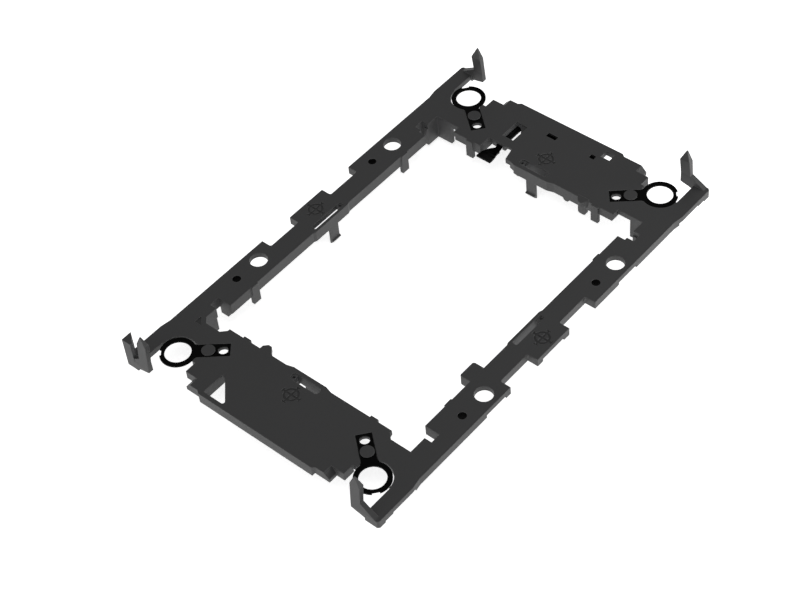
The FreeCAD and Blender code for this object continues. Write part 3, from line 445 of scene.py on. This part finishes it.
def moulded_plastic(settings):
    """Charcoal plastic with a fine spark-eroded grain, faint flow tones and softened edges, with a
    painted highlight along the edges, painted light on close-standing walls and sunk ledges, and
    painted shade in the wells and press-mark floors.
    """
    material, tree, shader = new_material("moulded_charcoal_plastic")
    colour = settings.colour
    place = add_node(tree, "ShaderNodeTexCoord").outputs["Object"]
    normal, edge = rounded_edges(tree, settings.edge_radius)
    flow = noise(tree, place, scale=55.0, detail=3.0, roughness=0.55)
    speckle = noise(tree, place, scale=0.35 / settings.grain_size, detail=2.0, roughness=0.6)
    specks = remap(tree, speckle, (0.35, 0.65), (0.0, 0.16))
    tone = mottled(tree, flow, colour, darker=0.90, paler=1.10)
    tone = blend(tree, specks, tone, scaled(colour, 1.5))
    # Painted highlight along the softened edges
    tone = blend(tree, edge, tone, settings.painted_edge_highlight_colour)
    # Painted light lifting the shade on upright walls that stand close together
    walls = enclosed_walls(tree, settings.painted_wall_light_reach)
    tone = blend(tree, walls, tone, scaled(colour, settings.painted_wall_light_tone))
    # Painted light on the sunk ledges at the slots' ends
    ledges = inside_block(tree, place, *LEDGE_FLOORS)
    tone = blend(tree, ledges, tone, scaled(colour, settings.painted_ledge_light_tone))
    # Painted shade on the floors of the press marks
    marks = inside_block(tree, place, *MARK_FLOORS)
    tone = blend(tree, marks, tone, scaled(colour, settings.painted_mark_shade_tone))
    # Painted shade in the small deep wells, which also lose their shine
    wells = any_block(tree, place, WELLS)
    tone = blend(tree, wells, tone, scaled(colour, settings.painted_well_shade_tone))
    tree.links.new(tone, shader.inputs["Base Color"])
    shine = remap(tree, wells, (0.0, 1.0), (settings.shine, settings.well_shine))
    tree.links.new(shine, shader.inputs["Specular IOR Level"])
    uneven_gloss(tree, shader, flow, settings.roughness, smoother=0.05, rougher=0.06)
    grain = noise(tree, place, scale=1.0 / settings.grain_size, detail=2.5, roughness=0.55)
    fine_relief(tree, shader, grain, normal, strength=0.5, depth=settings.grain_depth)
    return material


def satin_plastic(settings):
    """Black lever plastic, smoother than the carrier, with faint scuffs and a painted highlight
    along its edges.
    """
    material, tree, shader = new_material("satin_black_plastic")
    place = add_node(tree, "ShaderNodeTexCoord").outputs["Object"]
    normal, edge = rounded_edges(tree, settings.edge_radius)
    scuff = noise(tree, place, scale=900.0, detail=3.0, roughness=0.6)
    tone = mottled(tree, scuff, settings.colour, darker=0.85, paler=1.3)
    # Painted highlight along the lever's edges
    tone = blend(tree, edge, tone, scaled(settings.colour, settings.painted_edge_highlight_tone))
    tree.links.new(tone, shader.inputs["Base Color"])
    shader.inputs["Specular IOR Level"].default_value = settings.shine
    uneven_gloss(tree, shader, scuff, settings.roughness, smoother=0.05, rougher=0.08)
    grain = noise(tree, place, scale=5200.0, detail=2.0)
    fine_relief(tree, shader, grain, normal, strength=0.35, depth=0.000003)
    return material


def coated_steel(settings):
    """Black coated spring steel with the faint lines of rolled strip under the coating, and a
    painted highlight along its edges.
    """
    material, tree, shader = new_material("black_coated_spring_steel")
    place = add_node(tree, "ShaderNodeTexCoord").outputs["Object"]
    normal, edge = rounded_edges(tree, settings.edge_radius)
    strip = add_node(tree, "ShaderNodeMapping", {"Scale": (1.0, 0.04, 1.0)}, {"Vector": place})
    lines = noise(tree, strip.outputs["Vector"], scale=1.0 / settings.rolled_lines, detail=2.0)
    mottle = noise(tree, place, scale=700.0, detail=2.0)
    tone = mottled(tree, mottle, settings.colour, darker=0.8, paler=1.3)
    # Painted highlight along the clip's edges
    tone = blend(tree, edge, tone, scaled(settings.colour, settings.painted_edge_highlight_tone))
    tree.links.new(tone, shader.inputs["Base Color"])
    shader.inputs["Specular IOR Level"].default_value = settings.shine
    uneven_gloss(tree, shader, mottle, settings.roughness, smoother=0.06, rougher=0.08)
    fine_relief(tree, shader, lines, normal, strength=0.25, depth=0.000002)
    return material


def dress(name, material):
    """Give one CAD node its finish."""
    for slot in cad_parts[name].material_slots:
        slot.material = material


class RETENTION_OT_carrier(bpy.types.Operator):
    """Give the moulded carrier its grained charcoal plastic"""

    bl_idname = "retention.carrier"
    bl_label = "Finish Carrier"

    def execute(self, context):
        dress(CARRIER, moulded_plastic(context.scene.retention_frame.moulding))
        return {"FINISHED"}


def tapered_lever(settings):
    """Lever whose shaft starts thin at the blade and grows to its full thickness."""
    bpy.ops.object.select_all(action="DESELECT")
    lever = bpy.data.objects.new("tapered_lever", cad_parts[LEVER].data.copy())
    bpy.context.collection.objects.link(lever)
    lever.select_set(True)
    bpy.context.view_layer.objects.active = lever
    bpy.ops.object.mode_set(mode="EDIT")
    bpy.ops.mesh.select_mode(type="VERT")
    bpy.ops.mesh.select_all(action="SELECT")
    bpy.ops.mesh.remove_doubles(threshold=MERGE_DISTANCE)
    bpy.ops.mesh.select_all(action="SELECT")
    neck_end = (0.0, SHAFT_START + settings.neck_length, 0.0)
    bpy.ops.mesh.bisect(plane_co=neck_end, plane_no=(0.0, 1.0, 0.0))
    bpy.ops.mesh.select_all(action="DESELECT")
    bpy.ops.object.mode_set(mode="OBJECT")
    for vertex in lever.data.vertices:
        vertex.select = abs(vertex.co.y - SHAFT_START) < NEAR
    bpy.ops.object.mode_set(mode="EDIT")
    share = settings.neck_share
    bpy.ops.transform.resize(value=(share, 1.0, share),
                             center_override=(LEVER_X, SHAFT_START, LEVER_Z))
    bpy.ops.transform.translate(value=settings.neck_shift, use_proportional_edit=True,
                                proportional_edit_falloff="SMOOTH",
                                proportional_size=settings.neck_softness)
    bpy.ops.object.mode_set(mode="OBJECT")
    return lever


class RETENTION_OT_lever(bpy.types.Operator):
    """Give the release lever its tapered neck and its smoother black plastic"""

    bl_idname = "retention.lever"
    bl_label = "Make Lever"

    def execute(self, context):
        settings = context.scene.retention_frame.lever
        material = satin_plastic(settings)
        lever = tapered_lever(settings)
        lever.data.materials.clear()
        lever.data.materials.append(material)
        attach(lever, "lever")
        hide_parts(LEVER)
        return {"FINISHED"}


class RETENTION_OT_clips(bpy.types.Operator):
    """Give the four ring clips their black coated spring steel"""

    bl_idname = "retention.clips"
    bl_label = "Finish Ring Clips"

    def execute(self, context):
        steel = coated_steel(context.scene.retention_frame.clips)
        for name in CLIPS:
            dress(name, steel)
        return {"FINISHED"}


def block(name, low, high):
    """Block between two corners, its origin at the frame's origin."""
    middle = [(a + b) / 2 for a, b in zip(low, high)]
    bpy.ops.object.select_all(action="DESELECT")
    bpy.ops.mesh.primitive_cube_add(size=1.0, location=middle)
    piece = bpy.context.object
    piece.name = name
    piece.dimensions = [b - a for a, b in zip(low, high)]
    bpy.ops.object.transform_apply(location=True, rotation=True, scale=True)
    return piece


def pick(piece, kind, chosen):
    """Select the faces or edges of a piece that a test chooses, and stay in edit mode."""
    bpy.ops.object.mode_set(mode="EDIT")
    bpy.ops.mesh.select_mode(type=kind)
    bpy.ops.mesh.select_all(action="DESELECT")
    bpy.ops.object.mode_set(mode="OBJECT")
    mesh = piece.data
    for part in mesh.polygons if kind == "FACE" else mesh.edges:
        part.select = chosen(part, [mesh.vertices[i].co for i in part.vertices])
    bpy.ops.object.mode_set(mode="EDIT")


def carry(piece, material):
    """Give a piece its finish and let it ride on the carrier."""
    piece.data.materials.append(material)
    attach(piece, "carrier")


def catch_nose(details):
    """Nose over the catch leg: a block in the plate's edge, drawn out to a narrow round tip."""
    half = details.nose_width / 2
    edge = OPENING_EDGE_Y
    nose = block("catch_nose", (details.nose_centre - half, edge, DECK_BOTTOM),
                 (details.nose_centre + half, edge + NOSE_SEAT, DECK_TOP))
    pick(nose, "FACE", lambda face, spots: face.normal.y < -SQUARE)
    bpy.ops.mesh.extrude_region_move(
        TRANSFORM_OT_translate={"value": (0.0, -details.nose_reach, 0.0)})
    bpy.ops.transform.resize(value=(details.nose_tip, 1.0, 1.0))
    bpy.ops.object.mode_set(mode="OBJECT")
    pick(nose, "EDGE", lambda line, spots:
         abs(spots[0].z - spots[1].z) > NEAR and spots[0].y < edge - NEAR)
    bpy.ops.mesh.bevel(offset=details.nose_round, segments=4, affect="EDGES")
    bpy.ops.mesh.select_all(action="SELECT")
    bpy.ops.mesh.normals_make_consistent(inside=False)
    bpy.ops.object.mode_set(mode="OBJECT")
    return nose


def slot_skirt(details):
    """Deeper skirt round the upper left slot: its corner, drawn out along both sides."""
    bottom = SKIRT_BOTTOM - details.skirt_drop
    x, y = SLOT_CORNER
    skirt = block("slot_skirt", (x - SKIRT_WALL, y, bottom), (x, y + SKIRT_WALL, SKIRT_BOTTOM))
    pick(skirt, "FACE", lambda face, spots: face.normal.y < -SQUARE)
    bpy.ops.mesh.extrude_region_move(TRANSFORM_OT_translate={"value": (0.0, -SLOT_END_WALL, 0.0)})
    bpy.ops.object.mode_set(mode="OBJECT")
    pick(skirt, "FACE", lambda face, spots: face.normal.x > SQUARE and face.center.y > y)
    bpy.ops.mesh.extrude_region_move(TRANSFORM_OT_translate={"value": (SLOT_FAR_WALL, 0.0, 0.0)})
    bpy.ops.object.mode_set(mode="OBJECT")
    pick(skirt, "EDGE", lambda line, spots: all(spot.z < bottom + NEAR for spot in spots))
    bpy.ops.mesh.bevel(offset=details.skirt_round, segments=3, affect="EDGES")
    bpy.ops.mesh.select_all(action="SELECT")
    bpy.ops.mesh.normals_make_consistent(inside=False)
    bpy.ops.object.mode_set(mode="OBJECT")
    return skirt


class RETENTION_OT_details(bpy.types.Operator):
    """Add the small moulded forms of the upper plate"""

    bl_idname = "retention.details"
    bl_label = "Add Moulded Details"

    def execute(self, context):
        details = context.scene.retention_frame.details
        material = bpy.data.materials.get("moulded_charcoal_plastic")
        if material is None:
            raise RuntimeError("The carrier has to be finished before its details")
        carry(catch_nose(details), material)
        carry(slot_skirt(details), material)
        return {"FINISHED"}


def pale_floor(studio):
    """Wide pale floor that gives off light, as a light table does."""
    bpy.ops.object.select_all(action="DESELECT")
    bpy.ops.mesh.primitive_plane_add(size=FLOOR_WIDTH, location=(0.0, 0.0, 0.0))
    floor = bpy.context.object
    floor.name = "studio_floor"
    material, tree, shader = new_material("pale_studio_floor")
    place = add_node(tree, "ShaderNodeTexCoord").outputs["Object"]
    cloud = noise(tree, place, scale=8.0, detail=2.0)
    tone = mottled(tree, cloud, studio.floor_colour, darker=0.995, paler=1.0)
    tree.links.new(tone, shader.inputs["Base Color"])
    shader.inputs["Roughness"].default_value = 0.9
    shader.inputs["Specular IOR Level"].default_value = 0.1
    shader.inputs["Emission Color"].default_value = (1.0, 1.0, 1.0, 1.0)
    shader.inputs["Emission Strength"].default_value = studio.floor_glow
    floor.data.materials.append(material)


def soft_room(studio):
    """White room whose light differs a little between its front and its back."""
    world = bpy.data.worlds.new("studio_room")
    world.use_nodes = True
    tree = world.node_tree
    background = tree.nodes["Background"]
    background.inputs["Color"].default_value = (1.0, 1.0, 1.0, 1.0)
    outwards = add_node(tree, "ShaderNodeTexCoord").outputs["Generated"]
    front = (math.sin(studio.azimuth), -math.cos(studio.azimuth), 0.0)
    facing = vector_node(tree, "DOT_PRODUCT", outwards, front, result="Value")
    room = add_node(tree, "ShaderNodeMapRange", {
        "interpolation_type": "SMOOTHSTEP",
        "From Min": ROOM_CHANGE[0],
        "From Max": ROOM_CHANGE[1],
        "To Min": studio.room_back,
        "To Max": studio.room_front,
    }, {"Value": facing})
    tree.links.new(room.outputs["Result"], background.inputs["Strength"])
    return world


def soft_light(name, power, size, azimuth, elevation, distance):
    """Square light that faces the middle of the floor from one direction, given in degrees."""
    turn = math.radians(azimuth)
    rise = math.radians(elevation)
    place = distance * Vector((
        math.sin(turn) * math.cos(rise),
        -math.cos(turn) * math.cos(rise),
        math.sin(rise),
    ))
    bpy.ops.object.light_add(type="AREA", location=place)
    light = bpy.context.object
    light.name = name
    light.rotation_euler = (-place).to_track_quat("-Z", "Y").to_euler()
    light.data.shape = "SQUARE"
    light.data.size = size
    light.data.energy = power


def photo_camera(studio):
    """Camera at the photograph's viewing angle."""
    back = Vector((
        math.sin(studio.azimuth) * math.cos(studio.elevation),
        -math.cos(studio.azimuth) * math.cos(studio.elevation),
        math.sin(studio.elevation),
    ))
    place = Vector(studio.aim) + back * studio.distance
    upright = (-back).to_track_quat("-Z", "Y").to_matrix().to_4x4()
    tilt = Matrix.Rotation(studio.roll, 4, "Z")
    bpy.ops.object.camera_add(location=place)
    camera = bpy.context.object
    camera.name = "photo_camera"
    camera.matrix_world = Matrix.Translation(place) @ upright @ tilt
    camera.data.sensor_width = SENSOR_WIDTH
    camera.data.lens = studio.lens
    camera.data.clip_start = 0.01
    return camera


class RETENTION_OT_stage(bpy.types.Operator):
    """Set up the pale floor, the soft lights and the camera"""

    bl_idname = "retention.stage"
    bl_label = "Set Up Studio"

    def execute(self, context):
        studio = context.scene.retention_frame.studio
        pale_floor(studio)
        context.scene.world = soft_room(studio)
        soft_light("side_softbox", studio.side_light,
                   size=0.1, azimuth=122.0, elevation=10.0, distance=0.17)
        soft_light("front_softbox", studio.front_light,
                   size=0.9, azimuth=0.0, elevation=22.0, distance=1.2)
        soft_light("top_softbox", studio.top_light,
                   size=1.0, azimuth=45.0, elevation=80.0, distance=1.2)
        context.scene.camera = photo_camera(studio)
        context.scene.view_settings.view_transform = "Standard"
        context.scene.view_settings.look = "None"
        return {"FINISHED"}


class RETENTION_PT_panel(bpy.types.Panel):
    """Sizes, finishes and steps of the retention frame"""

    bl_idname = "RETENTION_PT_panel"
    bl_label = "Retention Frame"
    bl_space_type = "VIEW_3D"
    bl_region_type = "UI"
    bl_category = "Retention Frame"

    def draw(self, context):
        settings = context.scene.retention_frame
        groups = (
            ("Carrier", settings.moulding, RETENTION_OT_carrier),
            ("Lever", settings.lever, RETENTION_OT_lever),
            ("Ring clips", settings.clips, RETENTION_OT_clips),
            ("Details", settings.details, RETENTION_OT_details),
            ("Studio", settings.studio, RETENTION_OT_stage),
        )
        for title, group, operator in groups:
            box = self.layout.box()
            box.label(text=title)
            for name in group.__annotations__:
                box.prop(group, name)
            box.operator(operator.bl_idname)


CLASSES = (
    MouldedFinish,
    LeverFinish,
    ClipFinish,
    DetailSettings,
    StudioSettings,
    RetentionFrameSettings,
    RETENTION_OT_carrier,
    RETENTION_OT_lever,
    RETENTION_OT_clips,
    RETENTION_OT_details,
    RETENTION_OT_stage,
    RETENTION_PT_panel,
)


def register():
    for cls in CLASSES:
        bpy.utils.register_class(cls)
    bpy.types.Scene.retention_frame = PointerProperty(type=RetentionFrameSettings)


def unregister():
    del bpy.types.Scene.retention_frame
    for cls in reversed(CLASSES):
        bpy.utils.unregister_class(cls)


def main():
    """Finish every piece and set up the studio."""
    register()
    bpy.ops.retention.carrier()
    bpy.ops.retention.lever()
    bpy.ops.retention.clips()
    bpy.ops.retention.details()
    bpy.ops.retention.stage()


if __name__ == "__main__":
    main()
